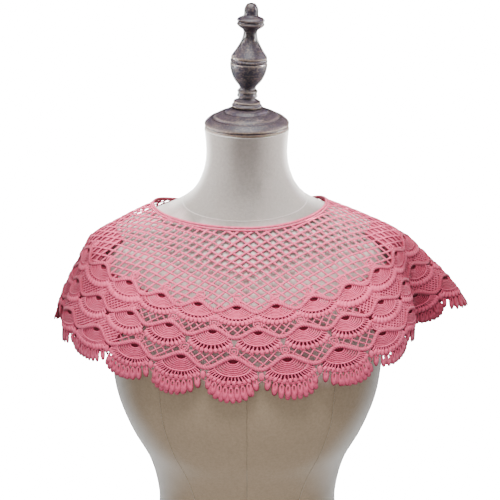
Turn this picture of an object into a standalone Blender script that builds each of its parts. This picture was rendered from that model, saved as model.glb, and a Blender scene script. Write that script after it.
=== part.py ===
"""Scalloped lace collar resting on a limbless dress form with a turned wooden neck cap and finial.

The collar is a closed ring of lace. Its cloth is one draped sheet: a point on it is named by the
repeat it belongs to, counted round the neck from the centre front, and by its distance down the cloth
from the neckline. The net yoke, the three tiers of fans and the neck cord are all laid out on that sheet.

Frame: +Z up, -Y is the front, +X is the viewer's right, origin under the neck on the form's base.
All sizes in the tables are millimetres; the meshes are in metres.
"""

from math import cos, pi, radians, sqrt

import bmesh
import bpy
import numpy as np
from mathutils import Vector

MM = 0.001
GAP = 0.3  # between pieces that meet

# ---- collar ------------------------------------------------------------------------------------
REPEATS = 24  # fans in each tier, all round
COLUMNS = 6  # mesh columns to a repeat of the border
YOKE_COLUMNS = 3
PHASE = 0.25  # repeats from the centre front to the nearest gap between tier 1 fans
SEAM = 1 / 3  # the front and back halves part this many repeats past the sides, beside a fan's eye
CAP_HEIGHT = 720.0  # height of the neck cap's rim, from which the drops below are measured
SHEET_STEP = 5.0  # spacing of the rings from which the sheet is read
NET_THICK = 1.5
FAN_THICK = 2.2
RIB_THICK = 2.6  # the rib along a fan's foot
PETAL_THICK = 2.2
ROPE_THICK = 3.9
ROPE_HALF = 2.7
CORD_RADIUS = 2.3
CORD_LIFT = 2.6
CORD_SIDES = 1
CORD_POINTS = 60
YOKE_TOP = 2.7  # where the net starts, just below the neck cord
YOKE_END = 84.0  # where the yoke meets the border, just above the first rope's crests

# Rings of the draped sheet: distance down the cloth, reach from the neck axis and drop below the cap.
RINGS = (
    # down, right, left, front, back, drop_front, drop_right, drop_left, drop_back, power
    (0, 101, 119, 80, 102, 113, 106, 109, 143, 2.00),
    (48, 152, 162, 110, 119, 153, 126, 130, 187, 2.00),
    (95, 200, 204, 138, 130, 191, 151, 157, 233, 2.00),
    (131, 227, 224, 152, 137, 219, 184, 192, 268, 2.00),
    (166, 250, 240, 162, 145, 253, 217, 229, 302, 1.95),
    (210, 266, 246, 170, 156, 299, 256, 268, 345, 1.85),
)
SHOULDER_BACK = 5.0  # the shoulder line lies this far behind the neck axis
FRONT_BLEND, BACK_BLEND = 2.0, 1.7  # how soon the drop at the side turns into the drop at the middle
WIDER = 0.25  # the hem's repeats are this much wider where the cloth is pulled flat in front
WIDER_AT, WIDER_SPREAD = 8.0, 45.0  # that place's direction from the front, and its spread
FOLDS_FROM = 85.0  # the folds grow from here to the hem
FOLD_GROWTH = 1.15
HEM = 210.0

# Folds at the hem: direction from the front, spread, outward reach (negative is a trough) and drop.
FOLDS = (
    # name, azimuth, spread, reach, drop
    ("front right flank", 58, 12, -15, -2),
    ("right trough", 76, 11, -54, 14),
    ("right flute", 99, 11, 30, -6),
    ("right back trough", 121, 9, -36, 4),
    ("right back flute", 141, 9, 26, 0),
    ("back trough right", 161, 9, -28, 0),
    ("back flute", 180, 10, 22, 0),
    ("back trough left", -162, 9, -26, 0),
    ("left back flute", -143, 9, 24, 0),
    ("left back trough", -124, 9, -32, 0),
    ("left flute", -107, 11, 24, 10),
    ("left trough", -87, 10, -26, 8),
    ("front left edge", -69, 9, 6, -2),
    ("front left flank", -48, 10, 4, -4),
)

# Tiers of fans: mean distance of the wavy rope down the cloth, its wave, and where a fan's centre lies.
TIERS = (
    # rope, wave, fan_at
    (97.5, 5.5, 0.5),
    (131.5, 5.5, 0.0),
    (167.0, 7.0, 0.5),
)
EYE_DEEP = 3.6  # slit under the rope's crest, besides the strip that edges it
EYE_STRIP = 1.2
FAN_TOP = 4.5  # least depth of a fan's foot below the rope's middle
FAN_DEEP = 19.0
FAN_HALF = 0.37  # half width of a fan in repeats
BAND_CENTRE = 12.0  # ladder and puffs below a fan's middle
BAND_BETWEEN = 8.0  # the same between two fans
SCALLOP = 18.0  # rise of the hem between two fans

# ---- dress form -----------------------------------------------------------------------------------
FORM_COLUMNS = 28
FORM_STEP = 40.0
# Level sections of the form: height, half width, depth to the front and to the back, squareness.
SECTIONS = (
    # height, half, front, back, power
    (0, 167, 116, 120, 2.3),
    (60, 160, 110, 117, 2.3),
    (120, 139, 100, 106, 2.3),
    (182, 121.5, 94, 92, 2.3),
    (226, 124.5, 102, 92, 2.3),
    (273, 136, 120, 97, 2.3),
    (319, 158, 142, 104, 2.25),
    (363, 173, 156, 110, 2.2),
    (420, 180, 161, 118, 2.1),
    (467, 186, 152, 122, 2.05),
    (520, 190, 133, 117, 1.9),
    (550, 190, 118, 109, 1.8),
    (569, 186, 107, 99, 1.75),
    (582, 171, 98, 91, 1.75),
    (594, 144, 88, 81, 1.8),
    (604, 118, 80, 71, 1.85),
    (614, 94, 72, 64, 1.9),
    (625, 75, 64, 59, 1.95),
    (638, 63.5, 57, 55, 2.0),
    (654, 56, 53, 53, 2.0),
    (712.7, 53, 52, 52, 2.0),
)

# ---- turned wood ------------------------------------------------------------------------------------
TURNED_STEPS = 28
FINIAL_STEPS = 16
CAP_BOTTOM = 713.0
FINIAL_FOOT = 739.2
FINIAL_LEAN = 2.7  # degrees to the viewer's right
CAP_PROFILE = (
    # radius, height above the cap's bottom
    (0, 25.0),
    (19.5, 25.0),
    (25.5, 22.6),
    (27.3, 20.6),
    (29.0, 21.2),
    (40.5, 16.2),
    (42.4, 14.0),
    (44.2, 14.4),
    (50.6, 9.2),
    (52.3, 6.6),
    (52.3, 1.6),
    (50.7, 0.0),
    (0, 0.0),
)
FINIAL_PROFILE = (
    # radius, height above the foot
    (0, 128.5),
    (4.8, 127.3),
    (8.2, 121.5),
    (7.6, 112.4),
    (13.6, 110.6),
    (16.4, 107.0),
    (15.0, 105.1),
    (16.4, 103.2),
    (13.6, 99.0),
    (7.3, 95.0),
    (8.9, 84.0),
    (15.7, 71.7),
    (22.0, 62.2),
    (21.6, 60.2),
    (22.8, 57.8),
    (22.0, 56.6),
    (22.8, 54.6),
    (21.1, 44.5),
    (17.2, 34.6),
    (8.6, 24.4),
    (12.6, 20.2),
    (11.5, 17.3),
    (12.6, 14.3),
    (9.6, 10.8),
    (17.0, 7.2),
    (16.4, 5.0),
    (18.8, 2.4),
    (17.8, 0.0),
    (0, 0.0),
)

# ---- colours ------------------------------------------------------------------------------------------
PINK = (0.62, 0.22, 0.28, 1)
GREIGE = (0.42, 0.34, 0.26, 1)
WOOD = (0.10, 0.07, 0.06, 1)


def clear_scene():
    for obj in list(bpy.data.objects):
        bpy.data.objects.remove(obj, do_unlink=True)


def material(name, colour, roughness, metallic=0.0):
    made = bpy.data.materials.new(name)
    made.use_nodes = True
    shader = made.node_tree.nodes["Principled BSDF"]
    shader.inputs["Base Color"].default_value = colour
    shader.inputs["Roughness"].default_value = roughness
    shader.inputs["Metallic"].default_value = metallic
    return made


def add_object(name, data, collection, looks):
    data.materials.append(looks)
    obj = bpy.data.objects.new(name, data)
    collection.objects.link(obj)
    return obj


def through(rows, at):
    """The row at this first-column value, on a smooth curve through the table's rows."""
    table = np.array(rows, float)
    key, values = table[:, 0], table[:, 1:]
    step = np.diff(key)[:, None]
    slope = np.diff(values, axis=0) / step
    tangent = np.zeros_like(values)
    tangent[1:-1] = (slope[:-1] * step[1:] + slope[1:] * step[:-1]) / (step[1:] + step[:-1])
    tangent[0] = 1.5 * slope[0] - 0.5 * tangent[1]
    tangent[-1] = 1.5 * slope[-1] - 0.5 * tangent[-2]
    i = int(np.clip(np.searchsorted(key, at) - 1, 0, len(key) - 2))
    width = key[i + 1] - key[i]
    t = (at - key[i]) / width
    start = (2 * t**3 - 3 * t**2 + 1) * values[i] + (t**3 - 2 * t**2 + t) * width * tangent[i]
    end = (3 * t**2 - 2 * t**3) * values[i + 1] + (t**3 - t**2) * width * tangent[i + 1]
    return start + end


# ---- the draped sheet ---------------------------------------------------------------------------------
def sheet_ring(down):
    """One closed ring of the sheet, spaced along the cloth by its repeats, from the front to the right."""
    right, left, front, back, drop_front, drop_right, drop_left, drop_back, power = through(RINGS, down)
    azimuth = np.linspace(0, 2 * pi, 1441)
    across, ahead = np.sin(azimuth), np.cos(azimuth)
    to_front = ahead > 0
    width = np.where(across > 0, right, left)
    depth = np.where(to_front, front + SHOULDER_BACK, back - SHOULDER_BACK)
    x = np.sign(across) * width * np.abs(across) ** (2 / power)
    y = SHOULDER_BACK - np.sign(ahead) * depth * np.abs(ahead) ** (2 / power)
    side_drop = np.where(across > 0, drop_right, drop_left)
    end_drop = np.where(to_front, drop_front, drop_back)
    blend = np.where(to_front, FRONT_BLEND, BACK_BLEND)
    drop = side_drop + (end_drop - side_drop) * np.abs(ahead) ** blend
    grown = (max(down - FOLDS_FROM, 0) / (HEM - FOLDS_FROM)) ** FOLD_GROWTH
    for _, centre, spread, reach, fall in FOLDS:
        off = (np.degrees(azimuth) - centre + 180) % 360 - 180
        share = grown * np.exp(-((off / spread) ** 2))
        x = x + across * reach * share
        y = y - ahead * reach * share
        drop = drop + fall * share
    points = np.stack([x, y, CAP_HEIGHT - drop], axis=-1)
    off = (np.degrees(azimuth[1:]) - WIDER_AT + 180) % 360 - 180
    tight = 1 - WIDER * grown * np.exp(-((off / WIDER_SPREAD) ** 2))
    along = np.concatenate([[0], np.cumsum(np.linalg.norm(np.diff(points, axis=0), axis=1) * tight)])
    even = np.linspace(0, along[-1], REPEATS * 48 + 1)
    return np.stack([np.interp(even, along, points[:, k]) for k in range(3)], axis=-1)


class Sheet:
    """The cloth's inner face. place() gives a point on it, lifted outwards from it."""

    def __init__(self):
        self.downs = np.arange(0, HEM + 3 * SHEET_STEP, SHEET_STEP)
        self.rings = np.stack([sheet_ring(down) for down in self.downs])
        self.per_repeat = (self.rings.shape[1] - 1) / REPEATS

    def point(self, repeat, down):
        column = (repeat * self.per_repeat) % (self.rings.shape[1] - 1)
        row = min(max(down / SHEET_STEP, 0), len(self.downs) - 1.001)
        i, j = int(row), int(column)
        s, t = row - i, column - j
        upper = self.rings[i, j] * (1 - t) + self.rings[i, j + 1] * t
        lower = self.rings[i + 1, j] * (1 - t) + self.rings[i + 1, j + 1] * t
        return upper * (1 - s) + lower * s

    def place(self, repeat, down, lift=0.0):
        here = self.point(repeat, down)
        if not lift:
            return Vector(here * MM)
        round_it = self.point(repeat + 0.05, down) - self.point(repeat - 0.05, down)
        down_it = self.point(repeat, down + 2) - self.point(repeat, down - 2)
        out = np.cross(down_it, round_it)
        return Vector((here + lift * out / np.linalg.norm(out)) * MM)


# ---- the pattern on the sheet ---------------------------------------------------------------------------
def from_fan(repeat, fan_at):
    """Repeats from the centre of the nearest fan, -0.5 to 0.5."""
    return (repeat - PHASE - fan_at + 0.5) % 1.0 - 0.5


def rope_line(repeat, tier):
    rope, wave, fan_at = TIERS[tier]
    return rope - wave * cos(2 * pi * from_fan(repeat, fan_at))


def fan_foot(repeat, tier):
    off = from_fan(repeat, TIERS[tier][2])
    return rope_line(repeat, tier) + FAN_TOP + FAN_DEEP * sqrt(max(0.0, 1 - (off / FAN_HALF) ** 2))


def eye_foot(repeat, tier):
    off = abs(from_fan(repeat, TIERS[tier][2]))
    deep = EYE_DEEP * max(0.0, 1 - off * COLUMNS)
    return rope_line(repeat, tier) + ROPE_HALF + EYE_STRIP + deep


def band_foot(repeat, tier):
    off = abs(from_fan(repeat, TIERS[tier][2])) * 2
    return fan_foot(repeat, tier) + BAND_CENTRE + (BAND_BETWEEN - BAND_CENTRE) * off**2


def hem_line(repeat):
    off = from_fan(repeat, TIERS[2][2])
    return HEM - SCALLOP * (1 - sqrt(max(0.0, 1 - (off / 0.5) ** 2)))


def tier_rows(tier):
    """The mesh rows of one tier: where it lies down the cloth at a repeat, and the wall's thickness there."""
    rows = [
        (lambda repeat: rope_line(repeat, tier) - ROPE_HALF, NET_THICK),
        (lambda repeat: rope_line(repeat, tier), ROPE_THICK),
        (lambda repeat: rope_line(repeat, tier) + ROPE_HALF, NET_THICK),
        (lambda repeat: eye_foot(repeat, tier), FAN_THICK),
        (lambda repeat: fan_foot(repeat, tier), RIB_THICK),
    ]
    if tier < 2:
        rows.append((lambda repeat: band_foot(repeat, tier), NET_THICK))
    return rows


BORDER_ROWS = [(lambda repeat: YOKE_END, NET_THICK)]
BORDER_ROWS += tier_rows(0) + tier_rows(1) + tier_rows(2)
BORDER_ROWS += [(hem_line, PETAL_THICK)]
YOKE_ROWS = [
    (lambda repeat, down=down: down, NET_THICK) for down in np.linspace(YOKE_TOP, YOKE_END - GAP, 4)
]
ROWS_BEFORE_TIER = (1, 7, 13)


def border_gaps():
    """Mesh rows that are cut: the row, where in a repeat the gap's middle lies, and its half width."""
    one = 1 / COLUMNS
    gaps = []
    for tier, first in enumerate(ROWS_BEFORE_TIER):
        fan_at = TIERS[tier][2]
        gaps.append((first + 2, fan_at, one))
        if tier < 2:
            gaps.append((first + 5, fan_at, one))
            gaps.append((first + 5, fan_at + 0.5, one))
    return gaps


def lace_wall(name, sheet, rows, columns, ends, gaps, collection, looks):
    """An open grid laid on the sheet between two repeats, its gaps removed, extruded outwards."""
    start, end = ends
    cells = len(rows) - 1
    grid = bmesh.new()
    bmesh.ops.create_grid(grid, x_segments=columns, y_segments=cells, size=1.0)

    def column_of(flat):
        return (flat.x + 1) / 2 * columns

    def row_of(flat):
        return (flat.y + 1) / 2 * cells

    def repeat_of(column):
        return start + (end - start) * column / columns

    def in_gap(face):
        middle = face.calc_center_median()
        repeat = repeat_of(column_of(middle))
        return any(
            int(row_of(middle)) == row and abs(from_fan(repeat, centre)) < half
            for row, centre, half in gaps
        )

    def on_sheet(flat, outer):
        column = round(column_of(flat))
        down, thick = rows[round(row_of(flat))]
        repeat = repeat_of(column)
        point = sheet.place(repeat, down(repeat), thick * outer)
        if column in (0, columns):
            inner = repeat_of(abs(column - 1))
            inward = sheet.place(inner, down(inner), thick * outer) - point
            point += inward.normalized() * GAP * MM
        return point

    bmesh.ops.delete(grid, geom=[face for face in grid.faces if in_gap(face)], context="FACES")
    inner_verts = grid.verts[:]
    extruded = bmesh.ops.extrude_face_region(grid, geom=grid.faces[:])["geom"]
    outer_verts = [item for item in extruded if isinstance(item, bmesh.types.BMVert)]
    for verts, outer in ((inner_verts, False), (outer_verts, True)):
        for vert in verts:
            vert.co = on_sheet(vert.co, outer)
    bmesh.ops.recalc_face_normals(grid, faces=grid.faces[:])
    if grid.calc_volume(signed=True) < 0:
        bmesh.ops.reverse_faces(grid, faces=grid.faces[:])
    bmesh.ops.triangulate(grid, faces=grid.faces[:], quad_method="SHORT_EDGE")
    mesh = bpy.data.meshes.new(name)
    grid.to_mesh(mesh)
    grid.free()
    mesh.shade_smooth()
    mesh.set_sharp_from_angle(angle=radians(50))
    add_object(name, mesh, collection, looks)


def build_collar(collection):
    sheet = Sheet()
    pink = material("pink lace", PINK, 0.85)
    cord_pink = material("pink cord", PINK, 0.8)
    quarter = REPEATS / 4
    halves = (
        # name, first and last repeat
        ("front", -quarter + SEAM + PHASE, quarter + SEAM + PHASE),
        ("back", quarter + SEAM + PHASE, 3 * quarter + SEAM + PHASE),
    )
    for half, *ends in halves:
        yoke = (f"yoke_{half}", sheet, YOKE_ROWS, REPEATS // 2 * YOKE_COLUMNS, ends, [])
        border = (f"border_{half}", sheet, BORDER_ROWS, REPEATS // 2 * COLUMNS, ends, border_gaps())
        lace_wall(*yoke, collection, pink)
        lace_wall(*border, collection, pink)
    cord = bpy.data.curves.new("neck_cord", "CURVE")
    cord.dimensions = "3D"
    cord.bevel_depth = CORD_RADIUS * MM
    cord.bevel_resolution = CORD_SIDES
    line = cord.splines.new("POLY")
    line.points.add(CORD_POINTS - 1)
    for i, point in enumerate(line.points):
        point.co = (*sheet.place(REPEATS * i / CORD_POINTS, 0.0, CORD_LIFT), 1.0)
    line.use_cyclic_u = True
    add_object("neck_cord", cord, collection, cord_pink)


# ---- form, cap and finial ---------------------------------------------------------------------------------
def form_section(height):
    half, front, back, power = through(SECTIONS, height)
    points = []
    for column in range(FORM_COLUMNS):
        azimuth = 2 * pi * column / FORM_COLUMNS
        across, ahead = np.sin(azimuth), np.cos(azimuth)
        depth = front if ahead > 0 else back
        x = np.sign(across) * half * abs(across) ** (2 / power)
        y = -np.sign(ahead) * depth * abs(ahead) ** (2 / power)
        points.append(Vector((x, y, height)) * MM)
    return points


def build_form(collection):
    """A loft through level sections, closed flat at the base and at the top of the neck."""
    heights = []
    for (low, *_), (high, *_) in zip(SECTIONS, SECTIONS[1:]):
        parts = max(1, round((high - low) / FORM_STEP))
        heights += [low + (high - low) * part / parts for part in range(parts)]
    heights.append(SECTIONS[-1][0])
    body = bmesh.new()
    rings = [[body.verts.new(point) for point in form_section(height)] for height in heights]
    for lower, upper in zip(rings, rings[1:]):
        for i in range(FORM_COLUMNS):
            j = (i + 1) % FORM_COLUMNS
            body.faces.new((lower[i], lower[j], upper[j], upper[i]))
    body.faces.new(rings[0][::-1])
    body.faces.new(rings[-1])
    bmesh.ops.recalc_face_normals(body, faces=body.faces[:])
    mesh = bpy.data.meshes.new("dress_form")
    body.to_mesh(mesh)
    body.free()
    mesh.shade_smooth()
    mesh.set_sharp_from_angle(angle=radians(45))
    add_object("dress_form", mesh, collection, material("form cloth", GREIGE, 0.9))


def turned(name, profile, height, steps, collection, looks):
    """A profile from the axis at the top to the axis at the bottom, turned about the upright axis."""
    mesh = bpy.data.meshes.new(name)
    outline = bmesh.new()
    verts = [outline.verts.new((radius * MM, 0, level * MM)) for radius, level in profile]
    for upper, lower in zip(verts, verts[1:]):
        outline.edges.new((upper, lower))
    outline.to_mesh(mesh)
    outline.free()
    obj = add_object(name, mesh, collection, looks)
    obj.location = (0, 0, height * MM)
    screw = obj.modifiers.new("turned", "SCREW")
    screw.steps = steps
    screw.render_steps = steps
    screw.use_merge_vertices = True
    screw.merge_threshold = 0.00005
    return obj


def build_wood(collection):
    wood = material("weathered wood", WOOD, 0.45)
    turned("neck_cap", CAP_PROFILE, CAP_BOTTOM, TURNED_STEPS, collection, wood)
    finial = turned("finial", FINIAL_PROFILE, FINIAL_FOOT, FINIAL_STEPS, collection, wood)
    finial.rotation_euler = (0, radians(FINIAL_LEAN), 0)


def main():
    clear_scene()
    collection = bpy.data.collections.new("lace collar on a dress form")
    bpy.context.scene.collection.children.link(collection)
    build_form(collection)
    build_wood(collection)
    build_collar(collection)


main()
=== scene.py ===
# %% [markdown]
# # A scalloped lace collar on a dress form
# The collar is guipure lace, which is thread built up into cords, ribs and knots with no ground cloth. It
# lies over the shoulders of a cloth-covered dress form, with a turned wooden cap and finial on the neck.
# We load the measured solids first. Every visible piece is then made to the same sizes as those solids, so
# the lace, the form and the wood fit each other as the real ones do.

# %% Load the frame
from collections import namedtuple
from math import cos, pi, radians, sqrt

import bmesh
import bpy
import numpy as np
from mathutils import Matrix, Vector


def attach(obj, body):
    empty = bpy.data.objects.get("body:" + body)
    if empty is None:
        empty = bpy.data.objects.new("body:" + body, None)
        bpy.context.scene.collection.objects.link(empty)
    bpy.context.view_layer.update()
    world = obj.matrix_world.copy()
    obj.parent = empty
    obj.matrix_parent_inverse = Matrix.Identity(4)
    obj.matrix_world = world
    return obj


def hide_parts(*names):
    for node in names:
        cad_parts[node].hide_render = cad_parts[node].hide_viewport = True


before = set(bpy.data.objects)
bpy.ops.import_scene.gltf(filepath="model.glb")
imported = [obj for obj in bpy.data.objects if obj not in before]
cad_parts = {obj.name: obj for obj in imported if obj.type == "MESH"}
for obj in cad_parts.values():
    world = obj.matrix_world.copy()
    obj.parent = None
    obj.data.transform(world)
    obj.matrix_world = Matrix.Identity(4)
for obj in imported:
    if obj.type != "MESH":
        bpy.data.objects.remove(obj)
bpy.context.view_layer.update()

MM = 0.001
print("nodes:", sorted(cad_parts))

# %% [markdown]
# ## The camera
# A product photographer stands about a metre and a half away and looks down on the shoulders. A long lens
# keeps the shape honest. Framing comes first, because it tells us how fine each detail has to be: at this
# distance one picture point is a little over a millimetre of lace.

# %% Camera
CAMERA_AT = (0.004, -1.500, 1.108)
CAMERA_DOWN = 20.4  # degrees below level
CAMERA_LENS, CAMERA_SENSOR = 89.28, 36.0  # millimetres


def placed(name, data):
    """A new object in the scene for this mesh, lamp or camera."""
    thing = bpy.data.objects.new(name, data)
    bpy.context.scene.collection.objects.link(thing)
    return thing


optics = bpy.data.cameras.new("camera")
optics.lens = CAMERA_LENS
optics.sensor_width = CAMERA_SENSOR
camera = placed("camera", optics)
camera.location = CAMERA_AT
camera.rotation_euler = (radians(90 - CAMERA_DOWN), 0, 0)
bpy.context.scene.camera = camera
print("camera at", CAMERA_AT, "looks down", CAMERA_DOWN, "degrees")

# %% [markdown]
# ## The draped sheet
# Real lace is made flat and then falls into shape. We do the same: every thread is laid out flat, by the
# repeat it belongs to and its distance down the cloth from the neckline, and one function puts that place
# on the draped shoulders. The rings and folds below are the collar's own sizes in millimetres. A smooth
# curve runs through the rows of a table, so a few measured rings are enough.

# %% Collar sizes
REPEATS = 24  # fans in each tier, all round
PHASE = 0.25  # repeats from the centre front to the nearest gap between tier 1 fans
SEAM = 1 / 3  # repeats from such a gap to the join of the front and back halves
DROP_FROM = 720.0  # height that the rings' drops are measured from
HEM = 210.0
RINGS = (
    # down, right, left, front, back, drop_front, drop_right, drop_left, drop_back, power
    (0, 101, 119, 80, 102, 113, 106, 109, 143, 2.00),
    (48, 152, 162, 110, 119, 153, 126, 130, 187, 2.00),
    (95, 200, 204, 138, 130, 191, 151, 157, 233, 2.00),
    (131, 227, 224, 152, 137, 219, 184, 192, 268, 2.00),
    (166, 250, 240, 162, 145, 253, 217, 229, 302, 1.95),
    (210, 266, 246, 170, 156, 299, 256, 268, 345, 1.85),
)
SHOULDER_BACK = 5.0  # the rings are widest this far behind the neck's axis
FRONT_BLEND, BACK_BLEND = 2.0, 1.7  # powers that keep the drop of the sides towards front and back
FOLDS_FROM, FOLD_GROWTH = 85.0, 1.15  # the folds grow from this far down, at this power
FOLDS = (
    # azimuth from the front, spread, outward reach, drop
    (58, 12, -15, -2), (76, 11, -54, 14), (99, 11, 30, -6), (121, 9, -36, 4),
    (141, 9, 26, 0), (161, 9, -28, 0), (180, 10, 22, 0), (-162, 9, -26, 0),
    (-143, 9, 24, 0), (-124, 9, -32, 0), (-107, 11, 24, 10), (-87, 10, -26, 8),
    (-69, 9, 6, -2), (-48, 10, 4, -4),
)


def through(rows, at):
    """The row at this first-column value, on a smooth curve through the table's rows."""
    table = np.array(rows, float)
    key, values = table[:, 0], table[:, 1:]
    step = np.diff(key)[:, None]
    slope = np.diff(values, axis=0) / step
    tangent = np.zeros_like(values)
    tangent[1:-1] = (slope[:-1] * step[1:] + slope[1:] * step[:-1]) / (step[1:] + step[:-1])
    tangent[0] = 1.5 * slope[0] - 0.5 * tangent[1]
    tangent[-1] = 1.5 * slope[-1] - 0.5 * tangent[-2]
    i = int(np.clip(np.searchsorted(key, at) - 1, 0, len(key) - 2))
    width = key[i + 1] - key[i]
    t = (at - key[i]) / width
    start = (2 * t**3 - 3 * t**2 + 1) * values[i] + (t**3 - 2 * t**2 + t) * width * tangent[i]
    end = (3 * t**2 - 2 * t**3) * values[i + 1] + (t**3 - t**2) * width * tangent[i + 1]
    return start + end


print("collar:", REPEATS, "repeats,", len(RINGS), "rings,", len(FOLDS), "folds")

# %% [markdown]
# A ring of the cloth is an oval whose front, back and sides each have their own reach and drop. Flutes and
# troughs are soft bumps that grow from the fans down to the hem. Each ring is then spaced along its own
# length, because thread keeps its spacing however the cloth hangs. The lower fans stand a little wider in
# front, where the cloth is pulled flat.

# %% Rings of the draped cloth
RING_STEPS = 1440  # points of a ring before it is spaced along its length
WIDER, WIDER_AT, WIDER_SPREAD = 0.25, 8.0, 45.0  # share by which the hem is pulled wider, and where
COLUMNS = 48  # to a repeat


def nearest(value, turn):
    """The value moved by whole turns until it is nearest to zero."""
    return (value + turn / 2) % turn - turn / 2


def soft_bump(azimuth, centre, spread):
    """1 at the centre and nearly 0 past twice the spread, both in degrees."""
    return np.exp(-((nearest(np.degrees(azimuth) - centre, 360) / spread) ** 2))


def steps_of(path):
    """Distances from each point of a path to the next."""
    return np.linalg.norm(np.diff(path, axis=0), axis=1)


def sheet_ring(down):
    """The ring this far down the cloth, with its points evenly spaced in repeats."""
    right, left, front, back, drop_front, drop_right, drop_left, drop_back, power = through(RINGS, down)
    azimuth = np.linspace(0, 2 * pi, RING_STEPS + 1)
    across, ahead = np.sin(azimuth), np.cos(azimuth)
    to_front = ahead > 0
    width = np.where(across > 0, right, left)
    depth = np.where(to_front, front + SHOULDER_BACK, back - SHOULDER_BACK)
    x = np.sign(across) * width * np.abs(across) ** (2 / power)
    y = SHOULDER_BACK - np.sign(ahead) * depth * np.abs(ahead) ** (2 / power)
    side_drop = np.where(across > 0, drop_right, drop_left)
    end_drop = np.where(to_front, drop_front, drop_back)
    blend = np.where(to_front, FRONT_BLEND, BACK_BLEND)
    drop = side_drop + (end_drop - side_drop) * np.abs(ahead) ** blend
    grown = (max(down - FOLDS_FROM, 0) / (HEM - FOLDS_FROM)) ** FOLD_GROWTH
    for centre, spread, reach, fall in FOLDS:
        share = grown * soft_bump(azimuth, centre, spread)
        x = x + across * reach * share
        y = y - ahead * reach * share
        drop = drop + fall * share
    points = np.stack([x, y, DROP_FROM - drop], axis=-1)
    tight = 1 - WIDER * grown * soft_bump(azimuth[1:], WIDER_AT, WIDER_SPREAD)
    along = np.concatenate([[0], np.cumsum(steps_of(points) * tight)])
    even = np.linspace(0, along[-1], REPEATS * COLUMNS + 1)
    return np.stack([np.interp(even, along, points[:, k]) for k in range(3)], axis=-1)


def ring_length(down):
    return float(steps_of(sheet_ring(down)).sum())


print("round the cloth, mm:", {down: round(ring_length(down)) for down in (0, 95, 167, 210)})

# %% [markdown]
# The rings become a sheet that can be asked for any place. A thread lies on the cloth and not in it, so a
# second function lifts a place along the way out from the cloth there. Past the shoulders the border hangs
# in folds that shade each other, and a third function says how far a place is in them. Thread there is
# painted darker by that share, as painted shade.

# %% Places on the cloth
SHEET_TOP, SHEET_STEP = -5.0, 2.5
DOWNS = np.arange(SHEET_TOP, HEM + 4 * SHEET_STEP, SHEET_STEP)
SHEET = np.stack([sheet_ring(down) for down in DOWNS])
AROUND = SHEET.shape[1] - 1
NEAR_ROUND, NEAR_DOWN = 0.05, 2.0  # repeats and millimetres to the places that give the cloth's slope
FOLDED_ROUND = (3.0, 1.8)  # repeats from the centre front: where the folds begin, and over how many
FOLDED_DOWN = (70.0, 35.0)  # the same, in millimetres down the cloth


def on_sheet(repeat, down):
    """Points of the cloth's inner face, in millimetres."""
    column = (np.asarray(repeat, float) * AROUND / REPEATS) % AROUND
    row = np.clip((np.asarray(down, float) - SHEET_TOP) / SHEET_STEP, 0, len(DOWNS) - 1.001)
    i, j = row.astype(int), np.minimum(column.astype(int), AROUND - 1)
    s, t = (row - i)[..., None], (column - j)[..., None]
    upper = SHEET[i, j] * (1 - t) + SHEET[i, j + 1] * t
    lower = SHEET[i + 1, j] * (1 - t) + SHEET[i + 1, j + 1] * t
    return upper * (1 - s) + lower * s


def unit(vectors):
    """The same directions, each one long."""
    return vectors / (np.linalg.norm(vectors, axis=-1, keepdims=True) + 1e-12)


def on_cloth(repeat, down, lift):
    """Points lifted off the cloth, and the way out from it there."""
    repeat, down = np.broadcast_arrays(repeat, down)
    round_it = on_sheet(repeat + NEAR_ROUND, down) - on_sheet(repeat - NEAR_ROUND, down)
    down_it = on_sheet(repeat, down + NEAR_DOWN) - on_sheet(repeat, down - NEAR_DOWN)
    out = unit(np.cross(down_it, round_it))
    return on_sheet(repeat, down) + np.asarray(lift, float)[..., None] * out, out


def from_front(repeat):
    """Repeats from the centre front, whichever way round is shorter."""
    return np.abs(nearest(np.asarray(repeat, float), REPEATS))


def folded(repeat, down):
    """From 0 in front and on the yoke to 1 past each shoulder, where the border hangs in folds."""
    aside = (from_front(repeat) - FOLDED_ROUND[0]) / FOLDED_ROUND[1]
    below = (np.asarray(down, float) - FOLDED_DOWN[0]) / FOLDED_DOWN[1]
    return np.clip(aside, 0.0, 1.0) * np.clip(below, 0.0, 1.0)


print("sheet:", SHEET.shape[0], "rows of", AROUND, "columns")

# %% [markdown]
# ## Laying thread
# A lace cord is an oval tube that follows a path on the cloth. There are thousands of short ones, so they
# are worked out as arrays and joined into a few meshes. Each tube keeps a UV map in millimetres, along and
# round the cord, and the stitches of its material follow that map. Each point also keeps how far up its
# cord it is, from 0 on the cloth's inner face to 1 on top, and the material paints the lower part of each
# cord a dark deep pink, a painted shade down in the gaps. Thread that lies deep in the lace or hangs in a
# fold gets a smaller number, which paints it darker still as painted shade.

# %% Joined pieces of thread
FOLD_SHADE = 0.34  # how much darker thread in the folds is painted: painted shade
STRAND_GROOVE, GROOVE_SHADE = 0.22, 0.38  # depth of the groove between strands, and its painted shade
KNOT_ROUND = 0.03  # repeats to the places that say which way is level at a knot
THREAD_CREASE = 70  # degrees


def piece_of(mesh, crease, material):
    """The mesh as a piece of the scene, smooth but for edges sharper than the crease in degrees."""
    mesh.shade_smooth()
    mesh.set_sharp_from_angle(angle=radians(crease))
    mesh.materials.append(material)
    print(mesh.name, "faces:", len(mesh.polygons))
    return placed(mesh.name, mesh)


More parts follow.
